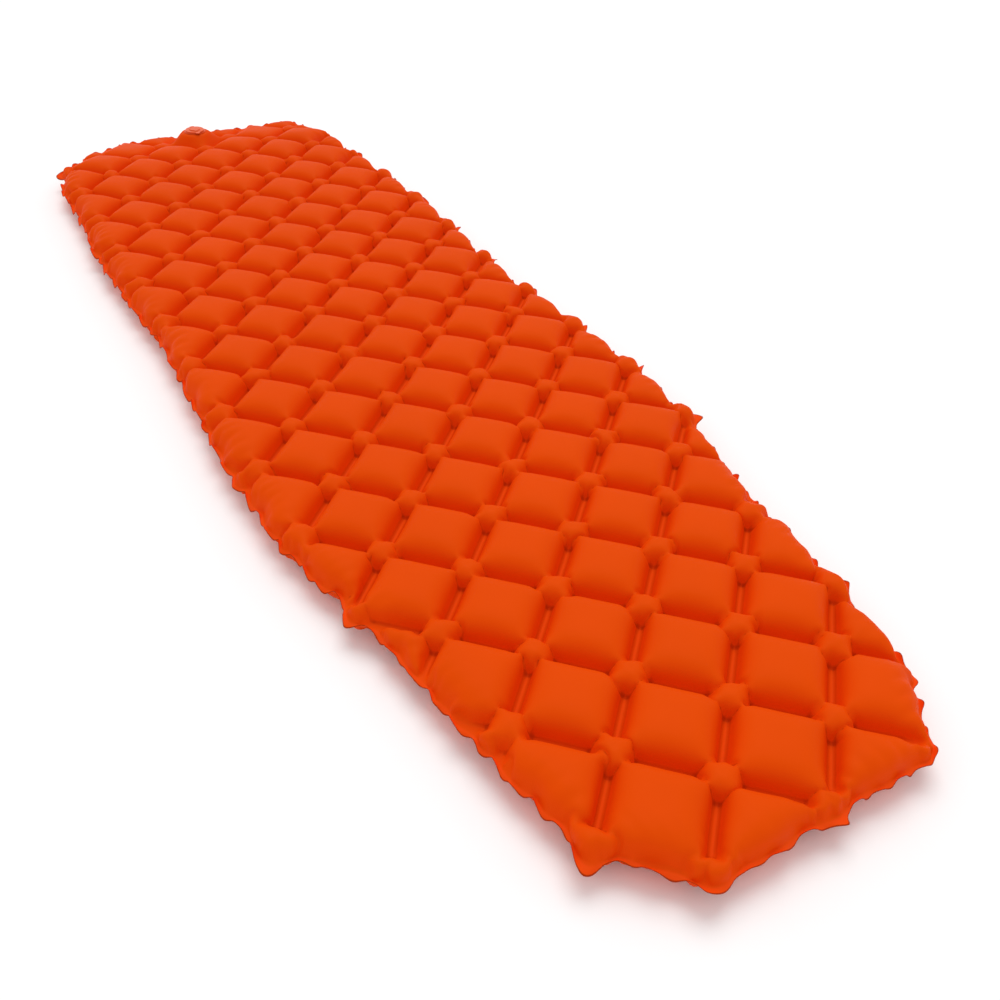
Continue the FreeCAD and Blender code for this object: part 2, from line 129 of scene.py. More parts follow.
# A side of the edge line counts as a long edge where its way out points this much across the pad.
FACES_ACROSS = 0.7
# The painted crease shade fades out over this distance from the edge.
CREASE_FADE = 0.02
# The least share of flange that makes a face part of it.
ON_FLANGE = 0.001
# The floor-side fabric stays this far above the pad's lowest plane.
FLOOR_CLEAR = 0.0002

CAMERA_PLACE = (-0.519, -1.219, 0.756)
CAMERA_AZIMUTH = math.radians(31.7)
CAMERA_DOWN = math.radians(38.4)
CAMERA_ROLL = math.radians(2.59)
CAMERA_LENS, CAMERA_SENSOR = 36.0, 36.0

HARD_PIECES = ("valve_base", "tether_ring", "deflate_plug", "plug_strap", "inflate_cap", "cap_strap")
SOFT_PIECES = ("plug_seal", "check_flap", "cap_seal")

# Sockets of a Mix node that mixes colours.
MIX_SHARE, MIX_FROM, MIX_TO, MIX_RESULT = 0, 6, 7, 2


def linear(hex_colour):
    """An sRGB hex colour as linear red, green, blue and alpha."""
    parts = [int(hex_colour[place:place + 2], 16) / 255.0 for place in (1, 3, 5)]
    low = [part / 12.92 for part in parts]
    high = [((part + 0.055) / 1.055) ** 2.4 for part in parts]
    return [dark if part <= 0.04045 else light for part, dark, light in zip(parts, low, high)] + [1.0]


# --- settings ------------------------------------------------------------------------------------
class QuiltSettings(bpy.types.PropertyGroup):
    """Sizes of the welded lattice and of the cloth mesh laid over it."""
    step: bpy.props.FloatProperty(
        name="Half diagonal", description="Half the diagonal of a quilt cell",
        default=0.067, unit="LENGTH")
    band: bpy.props.FloatProperty(
        name="Weld band", description="Width of the weld band between two cells",
        default=0.008, unit="LENGTH")
    gap: bpy.props.FloatProperty(
        name="Band gap", description="Lattice junction to the end of a weld band",
        default=0.019, unit="LENGTH")
    squares: bpy.props.IntProperty(
        name="Squares per cell", description="Cloth squares along the side of a quilt cell",
        default=24, min=8, max=32)
    flange_short: bpy.props.FloatProperty(
        name="Narrow flange", description="Width of the edge weld between two lattice junctions",
        default=0.0050, unit="LENGTH")
    flange_long: bpy.props.FloatProperty(
        name="Wide flange", description="Width of the edge weld at a lattice junction",
        default=0.015, unit="LENGTH")
    ear_start: bpy.props.FloatProperty(
        name="Ear start", description="Nearness to a lattice junction at which an ear of the flange starts",
        default=0.80, min=0.0, max=0.95)
    pleats: bpy.props.FloatProperty(
        name="Pleats", description="Spacing of the small pleats in the flange",
        default=0.031, unit="LENGTH")
    flange_rise: bpy.props.FloatProperty(
        name="Flange waves", description="Height of the waves in the flange",
        default=0.0025, unit="LENGTH")
    edge_share: bpy.props.FloatProperty(
        name="Edge spacing", description="Spacing of the edge's points, as a share of the cloth squares",
        default=0.6, min=0.3, max=1.0)
    seam_mean: bpy.props.FloatProperty(
        name="Seam mean", description="How far outside the edge line the seam lies on average",
        default=0.001, unit="LENGTH")
    ear_swell: bpy.props.FloatProperty(
        name="Ear swell", description="How much further out the seam lies at a lattice junction",
        default=0.005, unit="LENGTH")
    notch: bpy.props.FloatProperty(
        name="Notches", description="How far the ends of the weld bands draw the seam in beside a junction",
        default=0.0045, unit="LENGTH")
    foot_out: bpy.props.FloatProperty(
        name="Foot out", description="How much further out the seam lies at the foot end",
        default=0.003, unit="LENGTH")
    sway: bpy.props.FloatProperty(
        name="Sway", description="Slow wander of the long edges",
        default=0.006, unit="LENGTH")
    uneven: bpy.props.FloatProperty(
        name="Uneven edge", description="Unevenness of the seam's line",
        default=0.002, unit="LENGTH")
    thickness: bpy.props.FloatProperty(
        name="Sheet thickness", description="Thickness of one coated sheet",
        default=0.0004, unit="LENGTH")


class AirSettings(bpy.types.PropertyGroup):
    """How the pad is blown up."""
    draw_in: bpy.props.FloatProperty(
        name="Draw-in", description="How much longer and wider the lattice is before the pad is blown up",
        default=1.14, min=1.0, max=1.3)
    first_rise: bpy.props.FloatProperty(
        name="First rise", description="Greatest height of the slack sheet before the air goes in",
        default=0.018, unit="LENGTH")
    highest: bpy.props.FloatProperty(
        name="Highest", description="No point of a sheet may rise further than this above the weld plane",
        default=0.0285, unit="LENGTH")
    pressure: bpy.props.FloatProperty(
        name="Pressure", description="Cloth pressure", default=7000.0, min=0.0, max=10000.0)
    edge_spare: bpy.props.FloatProperty(
        name="Edge spare", description="Spare fabric between an edge cell and the seam",
        default=0.005, unit="LENGTH")
    edge_zone: bpy.props.FloatProperty(
        name="Edge zone", description="Width inside the seam that the spare fabric is spread over",
        default=0.030, unit="LENGTH")
    tension: bpy.props.FloatProperty(
        name="Tension", description="Cloth tension and compression stiffness", default=20.0)
    bending: bpy.props.FloatProperty(
        name="Bending", description="Cloth bending stiffness", default=0.5)
    gather_depth: bpy.props.FloatProperty(
        name="Gather depth", description="Depth of the gathers that run in from the seam",
        default=0.0022, unit="LENGTH")
    gather_pitch: bpy.props.FloatProperty(
        name="Gather pitch", description="Spacing of the gathers along the seam",
        default=0.017, unit="LENGTH")
    gather_zone: bpy.props.FloatProperty(
        name="Gather length", description="How far in from the seam the gathers reach",
        default=0.032, unit="LENGTH")
    fullness: bpy.props.FloatProperty(
        name="Fullness", description="How much steeper the cells rise, and how much flatter their tops are",
        default=0.55, min=0.0, max=0.9)
    head_share: bpy.props.FloatProperty(
        name="Head share", description="Height of the bed side at the head edge, as a share of the rest",
        default=0.40, min=0.2, max=1.0)
    draw_frames: bpy.props.IntProperty(
        name="Draw-in frames", description="Frames in which the welds draw together", default=8)
    frames: bpy.props.IntProperty(
        name="Frames", description="Frames simulated", default=20)


class FinishSettings(bpy.types.PropertyGroup):
    """Colours."""
    fabric: bpy.props.FloatVectorProperty(
        name="Fabric", description="Colour of the coated fabric",
        subtype="COLOR", size=4, default=linear("#E14903"), min=0.0, max=1.0)
    # Painted bounce light: this redder orange is mixed on to the steep sides of the cells, standing in for
    # light reflected from the next cell.
    side: bpy.props.FloatVectorProperty(
        name="Cell sides", description="Colour of the fabric on the steep sides of a cell",
        subtype="COLOR", size=4, default=linear("#F04403"), min=0.0, max=1.0)
    # Painted shade: this dark red is mixed into the hollow creases, standing in for the shade that falls
    # there.
    fold: bpy.props.FloatVectorProperty(
        name="Creases", description="Colour of the fabric in a crease",
        subtype="COLOR", size=4, default=linear("#9C1C00"), min=0.0, max=1.0)
    pressed: bpy.props.FloatVectorProperty(
        name="Pressed fabric", description="Colour of the fabric where it is welded",
        subtype="COLOR", size=4, default=linear("#FF4C1A"), min=0.0, max=1.0)
    valve: bpy.props.FloatVectorProperty(
        name="Valve", description="Colour of the moulded valve",
        subtype="COLOR", size=4, default=linear("#E2561E"), min=0.0, max=1.0)
    silicone: bpy.props.FloatVectorProperty(
        name="Silicone", description="Colour of the seals and the check flap",
        subtype="COLOR", size=4, default=linear("#D9D8D2"), min=0.0, max=1.0)
    inside: bpy.props.FloatVectorProperty(
        name="Inside", description="Colour of the airtight coating inside the pad",
        subtype="COLOR", size=4, default=linear("#C9C4BC"), min=0.0, max=1.0)


# --- the lattice -----------------------------------------------------------------------------------
def cell_side(quilt):
    """The length of a quilt cell's side, weld line to weld line."""
    return quilt.step * math.sqrt(2.0)


def along_welds(x, y):
    """A place in coordinates that run along the two directions of the weld lines."""
    return (x + y) * math.sqrt(0.5), (y - x) * math.sqrt(0.5)


def from_welds(p, q):
    """The place on the pad of coordinates that run along the weld lines."""
    return (p - q) * math.sqrt(0.5), (p + q) * math.sqrt(0.5)


def weld_distance(quilt, x, y):
    """Distance to the nearest weld band, 0 on it."""
    side = cell_side(quilt)
    p, q = along_welds(x, y)
    nearest = side
    for across, along in ((p, q), (q, p)):
        off = abs(across - side * round(across / side)) - quilt.band / 2.0
        place = along - side * math.floor(along / side)
        past = max(quilt.gap - place, 0.0, place - side + quilt.gap)
        nearest = min(nearest, math.hypot(max(off, 0.0), past))
    return nearest


def on_weld(quilt, x, y):
    """True for a point of the cloth that a weld band holds."""
    side = cell_side(quilt)
    p, q = along_welds(x, y)
    for across, along in ((p, q), (q, p)):
        place = along - side * math.floor(along / side)
        near = abs(across - side * round(across / side)) < quilt.band / 2.0
        if near and quilt.gap < place < side - quilt.gap:
            return True
    return False


def let_out(quilt, air, t):
    """One weld coordinate before the pad is blown up: welds keep their size, gaps are longer."""
    side = cell_side(quilt)
    whole = math.floor(t / side)
    part = t - whole * side
    half = part if part <= side / 2.0 else side - part
    band = quilt.band / 2.0
    slack = side * (air.draw_in - 1.0) / 2.0
    grown = min(half, band)
    grown += min(max(half - band, 0.0), quilt.gap - band) * (1.0 + slack / (quilt.gap - band))
    grown += max(half - quilt.gap, 0.0)
    return whole * side * air.draw_in + (grown if part <= side / 2.0 else side * air.draw_in - grown)


def eased(share):
    """A share from 0 to 1 that starts and ends gently."""
    share = min(max(share, 0.0), 1.0)
    return share * share * (3.0 - 2.0 * share)


def ear(quilt, x, y):
    """1 where a lattice junction lies at a place on the edge, 0 midway between two."""
    column, row = x / quilt.step, y / quilt.step
    across = (column - row) / 2.0
    along = (column + row) / 2.0
    return 1.0 - 2.0 * max(abs(across - round(across)), abs(along - round(along)))


# --- the edge --------------------------------------------------------------------------------------
def edge_loop(spacing):
    """The edge weld's inner line as evenly spaced points, anticlockwise, its corners rounded."""
    points = []
    for start, end in zip(EDGE_LINE, EDGE_LINE[1:] + EDGE_LINE[:1]):
        count = max(1, round(math.dist(start, end) / spacing))
        for number in range(count):
            points.append(Vector(start).lerp(Vector(end), number / count))
    for _ in range(CORNER_PASSES):
        points = [(before + 2.0 * here + after) / 4.0 for before, here, after in neighbours(points)]
    return points


def neighbours(points):
    """Each point of a loop with the one before it and the one after it."""
    return zip(points[-1:] + points[:-1], points, points[1:] + points[:1])


def outward(points):
    """The unit way out of an anticlockwise loop at each of its points."""
    ways = []
    for before, _, after in neighbours(points):
        along = (after - before).normalized()
        ways.append(Vector((along.y, -along.x)))
    return ways


def seam_shift(quilt, x, y):
    """How far outside the edge line the seam lies.

    It goes round the bump of a lattice junction, is drawn in where the weld bands end beside it,
    and swells a little over the puffed cell between two junctions.
    """
    turn = math.pi * (1.0 - ear(quilt, x, y))
    lobes = quilt.ear_swell * math.cos(turn) + quilt.notch * math.cos(2.0 * turn)
    foot = eased((FOOT_FROM - y) / FOOT_BLEND)
    lobes = quilt.seam_mean + lobes * (1.0 - FOOT_CALM * foot) + quilt.foot_out * foot
    uneven = sum(math.sin(along_x * x + along_y * y) for along_x, along_y in UNEVEN_WAVES)
    fade = min(1.0, max(0.0, (SWAY_END - abs(y)) / SWAY_FADE)) if abs(x) > LONG_EDGE else 0.0
    sway = quilt.sway * fade * math.cos(2.0 * math.pi * (y + SWAY_START) / SWAY_LENGTH)
    return lobes + 0.5 * quilt.uneven * uneven + sway


def edge_rows(quilt, spacing):
    """The seam and the rows of the flange outside it, each a loop of points with their heights."""
    line = edge_loop(spacing)
    gone, rows = 0.0, [[] for _ in range(FLANGE_ROWS + 1)]
    for before, point, way in zip(line[-1:] + line[:-1], line, outward(line)):
        gone += (point - before).length
        tip = max(0.0, (ear(quilt, *point) - quilt.ear_start) / (1.0 - quilt.ear_start))
        # An ear reaches between half and all of its width, and the pleats drift by a third of a pleat.
        reach = 0.75 + 0.25 * math.sin(EAR_WAVE * gone)
        phase = gone / quilt.pleats + 0.35 * math.sin(PLEAT_WAVE * gone)
        pleat = (0.5 + 0.5 * math.cos(2.0 * math.pi * phase)) ** 4
        ear_width = (quilt.flange_long - quilt.flange_short) * tip * reach
        width = quilt.flange_short * (1.0 - PLEAT_DRAW * pleat) + ear_width
        # A second wave, about 1.7 pleats long, keeps the flange's waves from repeating with the pleats.
        wave = math.sin(2.0 * math.pi * phase) + 0.6 * math.sin(3.7 * gone / quilt.pleats)
        rise = quilt.flange_rise * wave
        seam = point + way * seam_shift(quilt, *point)
        lean = Vector((-way.y, way.x)) * TIP_LEAN * width * tip * math.sin(TIP_WAVE * gone)
        for number, row in enumerate(rows):
            out = number / FLANGE_ROWS
            place = seam + way * width * out + lean * out
            row.append((place, rise * out * out))
    return rows


def edge_sides():
    """The straight sides of the edge line: inside one, nx * x + ny * y is less than reach."""
    sides = []
    for start, end in zip(EDGE_LINE, EDGE_LINE[1:] + EDGE_LINE[:1]):
        length = math.dist(start, end)
        nx, ny = (end[1] - start[1]) / length, (start[0] - end[0]) / length
        sides.append((nx, ny, nx * start[0] + ny * start[1]))
    return sides


EDGE_SIDES = edge_sides()


def nearest_side(place):
    """The depth inside the nearest side of the edge line, and the way out there."""
    return min((reach - nx * place[0] - ny * place[1], nx, ny) for nx, ny, reach in EDGE_SIDES)


def edge_depth(place):
    """How far inside the edge weld's inner line a place is."""
    return nearest_side(place)[0]


# --- the cloth ---------------------------------------------------------------------------------------
def cloth_points(quilt):
    """Points of the sheet drawn in to its inflated plan, with what each is: inside, seam or flange."""
    spacing = cell_side(quilt) / quilt.squares
    clear = CLEAR_SHARE * spacing
    reach = math.ceil((PAD_HIGH[1] + PAD_HIGH[0]) * math.sqrt(0.5) / spacing)
    points = []
    for i in range(-reach, reach + 1):
        for j in range(-reach, reach + 1):
            place = Vector(from_welds(i * spacing, j * spacing))
            if valve_reach(place) > DISC_RADIUS + clear and seam_depth(quilt, place) > clear:
                points.append(place)
    loops = []
    turns = [2.0 * math.pi / DISC_POINTS * number for number in range(DISC_POINTS)]
    for radius in DISC_RINGS:
        loops.append(range(len(points), len(points) + DISC_POINTS))
        for turn in turns:
            points.append(Vector((VALVE_X + radius * math.cos(turn), VALVE_Y + radius * math.sin(turn))))
    points.append(Vector((VALVE_X, VALVE_Y)))
    kinds = [INSIDE] * len(points)
    heights = [0.0] * len(points)
    for number, row in enumerate(edge_rows(quilt, quilt.edge_share * spacing)):
        loops.append(range(len(points), len(points) + len(row)))
        points += [place for place, _ in row]
        heights += [height for _, height in row]
        kinds += [{0: SEAM, FLANGE_ROWS: RIM}.get(number, FLANGE)] * len(row)
    return points, kinds, heights, loops


def seam_depth(quilt, place):
    """How far inside the seam a place is."""
    return edge_depth(place) + seam_shift(quilt, *place)


def slack_height(quilt, air, place):
    """How high the slack sheet lies at a free place: a low hill between the welds."""
    slope = SLACK_SLOPE * weld_distance(quilt, *place) + SLACK_LEAST
    return min(slope, air.first_rise, SLACK_AT_SEAM * seam_depth(quilt, place))


def make_cloth(quilt, air):
    """The slack sheet as a mesh object, with the drawn-in plan as a shape key."""
    points, kinds, heights, loops = cloth_points(quilt)
    edges = []
    for loop in loops[:len(DISC_RINGS) + 1] + loops[-1:]:
        edges += list(zip(loop, list(loop[1:]) + [loop[0]]))
    cut = delaunay_2d_cdt(points, edges, [list(loops[-1])], 1, 1e-6)
    drawn, origins = cut[0], cut[3]
    kinds = [kinds[origin[0]] for origin in origins]
    heights = [heights[origin[0]] for origin in origins]
    welded, drawn_in, slack = [], [], []
    for number, (kind, height, place) in enumerate(zip(kinds, heights, drawn)):
        flat = valve_reach(place) < DISC_RADIUS + DISC_EDGE
        held = flat or kind == SEAM or (kind == INSIDE and on_weld(quilt, *place))
        rise = first = 0.0 if held else slack_height(quilt, air, place)
        if flat:
            rise = CROWN_TOP - WELD_PLANE - quilt.thickness
        if kind != INSIDE:
            rise = first = height
        p, q = along_welds(*place)
        spare = edge_spare(quilt, air, place)
        welded.append(0.0 if flat else float(held or kind != INSIDE))
        drawn_in.append((place[0], place[1], rise))
        x, y = from_welds(let_out(quilt, air, p), let_out(quilt, air, q))
        slack.append((x + spare[0], y + spare[1], first))
        if held and kind == INSIDE:
            kinds[number] = HELD
    mesh = bpy.data.meshes.new("slack_sheet")
    mesh.from_pydata(slack, [], cut[2])
    square_up(mesh)
    mesh.attributes.new("kind", "INT", "POINT").data.foreach_set("value", kinds)
    mesh.attributes.new("weld", "FLOAT", "POINT").data.foreach_set("value", welded)
    cloth = bpy.data.objects.new("slack_sheet", mesh)
    bpy.context.scene.collection.objects.link(cloth)
    fixed = cloth.vertex_groups.new(name="welded")
    fixed.add([number for number, kind in enumerate(kinds) if kind != INSIDE], 1.0, "REPLACE")
    blown = cloth.vertex_groups.new(name="blown")
    blown.add([number for number, kind in enumerate(kinds) if kind == INSIDE], 1.0, "REPLACE")
    cloth.shape_key_add(name="slack")
    key = cloth.shape_key_add(name="drawn_in")
    for point, place in zip(key.data, drawn_in):
        point.co = place
    return cloth, key


def edge_spare(quilt, air, place):
    """Spare fabric inside the seam, which lets the edge cells bulge over it: a shift outwards."""
    _, nx, ny = nearest_side(place)
    share = 1.0 - min(max(seam_depth(quilt, place) / air.edge_zone, 0.0), 1.0)
    shift = air.edge_spare * share * (1.0 - JUNCTION_LESS * ear(quilt, *place))
    return shift * nx, shift * ny


def valve_reach(place):
    """How far a place is from the valve's axis."""
    return math.hypot(place[0] - VALVE_X, place[1] - VALVE_Y)


def square_up(mesh):
    """Joins the triangles of the regular squares again."""
    bm = bmesh.new()
    bm.from_mesh(mesh)
    bmesh.ops.join_triangles(bm, faces=bm.faces, angle_face_threshold=3.2, angle_shape_threshold=0.7)
    bmesh.ops.recalc_face_normals(bm, faces=bm.faces)
    if sum(face.normal.z for face in bm.faces) < 0.0:
        bmesh.ops.reverse_faces(bm, faces=bm.faces)
    bm.to_mesh(mesh)
    bm.free()


def blow_up(cloth, key, air):
    """Draws the welds together and fills the cells with air; returns the settled points."""
    scene = bpy.context.scene
    key.value = 0.0
    key.keyframe_insert("value", frame=1)
    key.value = 1.0
    key.keyframe_insert("value", frame=air.draw_frames)
    modifier = cloth.modifiers.new("air", "CLOTH")
    settings = modifier.settings
    settings.vertex_group_mass = "welded"
    settings.mass = 0.002
    settings.quality = 5
    settings.tension_stiffness = air.tension
    settings.compression_stiffness = air.tension
    settings.shear_stiffness = SHEAR_SHARE * air.tension
    settings.bending_stiffness = air.bending
    settings.air_damping = 1.0
    settings.use_pressure = True
    settings.uniform_pressure_force = air.pressure
    settings.vertex_group_pressure = "blown"
    settings.effector_weights.gravity = 0.0
    modifier.collision_settings.use_collision = False
    modifier.point_cache.frame_end = air.frames
    for number in range(1, air.frames + 1):
        scene.frame_set(number)
    settled = cloth.evaluated_get(bpy.context.evaluated_depsgraph_get())
    places = [vertex.co.copy() for vertex in settled.data.vertices]
    scene.frame_set(1)
    return places


def inflate(quilt, air):
    """The inflated sheet as a mesh, rising from height 0 at the welds."""
    cloth, key = make_cloth(quilt, air)
    places = blow_up(cloth, key, air)
    for place in places:
        place.z = min(place.z, air.highest)
    mesh = bpy.data.meshes.new("inflated_sheet")
    mesh.from_pydata(places, [], [list(polygon.vertices) for polygon in cloth.data.polygons])
    for name, kind in (("kind", "INT"), ("weld", "FLOAT")):
        values = [item.value for item in cloth.data.attributes[name].data]
        mesh.attributes.new(name, kind, "POINT").data.foreach_set("value", values)
    kinds = [item.value for item in mesh.attributes["kind"].data]
    for name, wanted in (("flange", (FLANGE, RIM)), ("cut_edge", (RIM,))):
        shares = [float(kind in wanted) for kind in kinds]
        mesh.attributes.new(name, "FLOAT", "POINT").data.foreach_set("value", shares)
    bpy.data.objects.remove(cloth)
    return mesh


# --- the two sheets ----------------------------------------------------------------------------------
def cut_hole(mesh):
    """Opens the hole that the valve's collar goes through."""
    bm = bmesh.new()
    bm.from_mesh(mesh)
    gone = [face for face in bm.faces if valve_reach(face.calc_center_median()) < HOLE_RADIUS]
    bmesh.ops.delete(bm, geom=gone, context="FACES")
    bm.to_mesh(mesh)
    bm.free()


def smoothed(mesh, name):
    """The mesh after one subdivision, as a new object."""
    piece = bpy.data.objects.new(name, mesh)
    bpy.context.scene.collection.objects.link(piece)
    modifier = piece.modifiers.new("smooth", "SUBSURF")
    modifier.levels = modifier.render_levels = 1
    finer = bpy.data.meshes.new_from_object(piece.evaluated_get(bpy.context.evaluated_depsgraph_get()))
    piece.modifiers.clear()
    piece.data = finer
    return piece


def loops_of(edges):
    """The closed loops that some edges form, each as vertices in order."""
    ahead = {}
    for edge in edges:
        for vert in edge.verts:
            ahead.setdefault(vert, []).append(edge.other_vert(vert))
    loops = []
    while ahead:
        start = next(iter(ahead))
        loop, here, last = [], start, None
        while here in ahead:
            loop.append(here)
            ways = ahead.pop(here)
            nexts = [vert for vert in ways if vert is not last and vert in ahead]
            last = here
            if not nexts:
                break
            here = nexts[0]
        loops.append(loop)
    return loops


def lay_base(bm, loop):
    """Closes a flat loop of points with triangles, also where it turns inwards."""
    flat = [vert.co.xy for vert in loop]
    cut = delaunay_2d_cdt(flat, [], [list(range(len(flat)))], 1, 1e-7)
    if len(cut[0]) != len(flat):
        raise RuntimeError("the seam crosses itself: %d points of %d" % (len(cut[0]), len(flat)))
    for face in cut[2]:
        bm.faces.new([loop[cut[3][corner][0]] for corner in face])


def close_under(piece, side, thickness, pocket):
    """Gives the sheet its underside along the flange, a base across the welds, and the valve's pocket."""
    bm = bmesh.new()
    bm.from_mesh(piece.data)
    out = bm.verts.layers.float["flange"]
    rim = [edge for edge in bm.edges if edge.is_boundary]
    hole = [edge for edge in rim if valve_reach(edge.verts[0].co) < DISC_RADIUS]
    rim = [edge for edge in rim if valve_reach(edge.verts[0].co) > DISC_RADIUS]
    flange = [face for face in bm.faces if any(vert[out] > ON_FLANGE for vert in face.verts)]
    copied = bmesh.ops.duplicate(bm, geom=flange)
    under = copied["vert_map"]
    below = {vert: under[vert] for face in flange for vert in face.verts}
    for vert in below.values():
        vert.co.z -= side * thickness
    for edge in rim:
        one, two = edge.verts
        bm.faces.new((one, two, below[two], below[one]))
    inner = [edge for edge in copied["geom"] if isinstance(edge, bmesh.types.BMEdge)
             and len(edge.link_faces) == 1]
    for edge in inner:
        for vert in edge.verts:
            vert.co.z = WELD_PLANE
    for loop in loops_of(inner):
        lay_base(bm, loop)
    for loop in loops_of(hole):
        line_pocket(bm, loop, pocket)
    bmesh.ops.recalc_face_normals(bm, faces=bm.faces)
    for face in bm.faces:
        face.smooth = True
    bm.to_mesh(piece.data)
    bm.free()


def line_pocket(bm, loop, pocket):
    """The inside of the pad round the valve, down from the hole's edge to a closed bottom."""
    for radius, depth in pocket:
        ring = []
        for vert in loop:
            away = Vector((vert.co.x - VALVE_X, vert.co.y - VALVE_Y)).normalized() * radius
            ring.append(bm.verts.new((VALVE_X + away.x, VALVE_Y + away.y, CROWN_TOP - depth)))
        for number in range(len(loop)):
            after = (number + 1) % len(loop)
            face = bm.faces.new((loop[number], loop[after], ring[after], ring[number]))
            face.material_index = 1
        loop = ring
    bm.faces.new(loop).material_index = 1


def place_sheet(piece, side, thickness):
    """Puts a sheet on the weld plane, facing up (side 1) or turned over on to the floor (side -1)."""
    out = piece.data.attributes["flange"].data
    for vertex, item in zip(piece.data.vertices, out):
        share = min(max(item.value, 0.0), 1.0)
        height = vertex.co.z * (side * (1.0 - share) + share) + side * thickness
        vertex.co.z = max(WELD_PLANE + height, PAD_LOW[2] + FLOOR_CLEAR)


def fill_cells(mesh, reach, fullness):
    """Makes the cells rise steeply from their welds to flat tops; a point at that reach stays there."""
    for vertex in mesh.vertices:
        height = vertex.co.z
        vertex.co.z = height * (1.0 + fullness) - fullness * height * height / reach


def relax_round_valve(mesh):
    """Evens out the small folds that the cloth makes round the stiff disc."""
    kinds = [item.value for item in mesh.attributes["kind"].data]
    shares = {}
    for number, vertex in enumerate(mesh.vertices):
        reach = valve_reach(vertex.co)
        if kinds[number] == INSIDE and RELAX_FROM < reach < RELAX_REACH:
            shares[number] = RELAX_SHARE * eased(RELAX_FADE * (1.0 - reach / RELAX_REACH))
    beside = {number: [] for number in shares}
    for edge in mesh.edges:
        for one, two in (tuple(edge.vertices), tuple(reversed(edge.vertices))):
            if one in beside:
                beside[one].append(two)
    for _ in range(RELAX_PASSES):
        places = [vertex.co.copy() for vertex in mesh.vertices]
        for number, others in beside.items():
            middle = sum((places[other] for other in others), Vector()) / len(others)
            mesh.vertices[number].co = places[number].lerp(middle, shares[number])


def gather_seam(mesh, quilt, air):
    """Presses small folds into the sheet beside the seam, where the flat edge holds the spare fabric."""
    kinds = [item.value for item in mesh.attributes["kind"].data]
    for vertex, kind in zip(mesh.vertices, kinds):
        depth = seam_depth(quilt, vertex.co.xy) if kind == INSIDE else air.gather_zone
        if not 0.0 < depth < air.gather_zone:
            continue
        _, nx, _ = nearest_side(vertex.co)
        gone = vertex.co.y if abs(nx) > FACES_ACROSS else vertex.co.x
        # The gathers drift by a quarter of their spacing, and reach between a fifth and all of the way.
        phase = 2.0 * math.pi * gone / air.gather_pitch + 1.6 * math.sin(GATHER_WAVE * gone)
        fold = 0.5 + 0.5 * math.cos(phase)
        uneven = 0.6 + 0.4 * math.sin(GATHER_REACH_WAVE * gone)
        reach = math.sin(math.pi * depth / air.gather_zone) * uneven
        vertex.co.z = max(0.0, vertex.co.z - air.gather_depth * fold * fold * reach)


def lower_head(piece, head_share):
    """Lets the last row of cells down towards the head edge, all but the one that carries the valve."""
    for vertex in piece.data.vertices:
        near = eased((vertex.co.y - HEAD_FROM) / (HEAD_TO - HEAD_FROM))
        clear = eased((valve_reach(vertex.co) - VALVE_CLEAR) / VALVE_CLEAR)
        vertex.co.z *= 1.0 - (1.0 - head_share) * near * clear


def mark_creases(piece):
    """Writes where the surface is hollow, as a share of the spacing of its points, and how steep it is: the
    fabric paints shade into the hollows and bounce light on to the steep parts.
    """
    mesh = piece.data
    sums = [Vector() for _ in mesh.vertices]
    counts = [0] * len(sums)
    spacing = 0.0
    for edge in mesh.edges:
        one, two = edge.vertices
        start, end = mesh.vertices[one].co, mesh.vertices[two].co
        sums[one] += end
        sums[two] += start
        counts[one] += 1
        counts[two] += 1
        spacing += (start - end).length
    spacing /= len(mesh.edges)
    hollow = []
    for vertex, total, count in zip(mesh.vertices, sums, counts):
        away = (total / count - vertex.co).dot(vertex.normal) / spacing if count else 0.0
        hollow.append(max(0.0, away) * eased(edge_depth(vertex.co) / CREASE_FADE))
    steep = [1.0 - abs(vertex.normal.z) for vertex in mesh.vertices]
    mesh.attributes.new("hollow", "FLOAT", "POINT").data.foreach_set("value", hollow)
    mesh.attributes.new("steep", "FLOAT", "POINT").data.foreach_set("value", steep)


# --- materials ---------------------------------------------------------------------------------------
def add(tree, kind, inputs=(), **settings):
    """Adds a node with its settings; an input is a value or another node's output."""
    node = tree.nodes.new(kind)
    for name, value in settings.items():
        setattr(node, name, value)
    for name, value in dict(inputs).items():
        if isinstance(value, bpy.types.NodeSocket):
            tree.links.new(value, node.inputs[name])
        else:
            node.inputs[name].default_value = value
    return node


def new_material(name):
    """A material with an empty node tree, and the tree."""
    material = bpy.data.materials.new(name)
    material.use_nodes = True
    material.node_tree.nodes.clear()
    return material, material.node_tree


def shade_of(colour, gain):
    """A colour made lighter or darker."""
    return [min(1.0, part * gain) for part in colour[:3]] + [1.0]


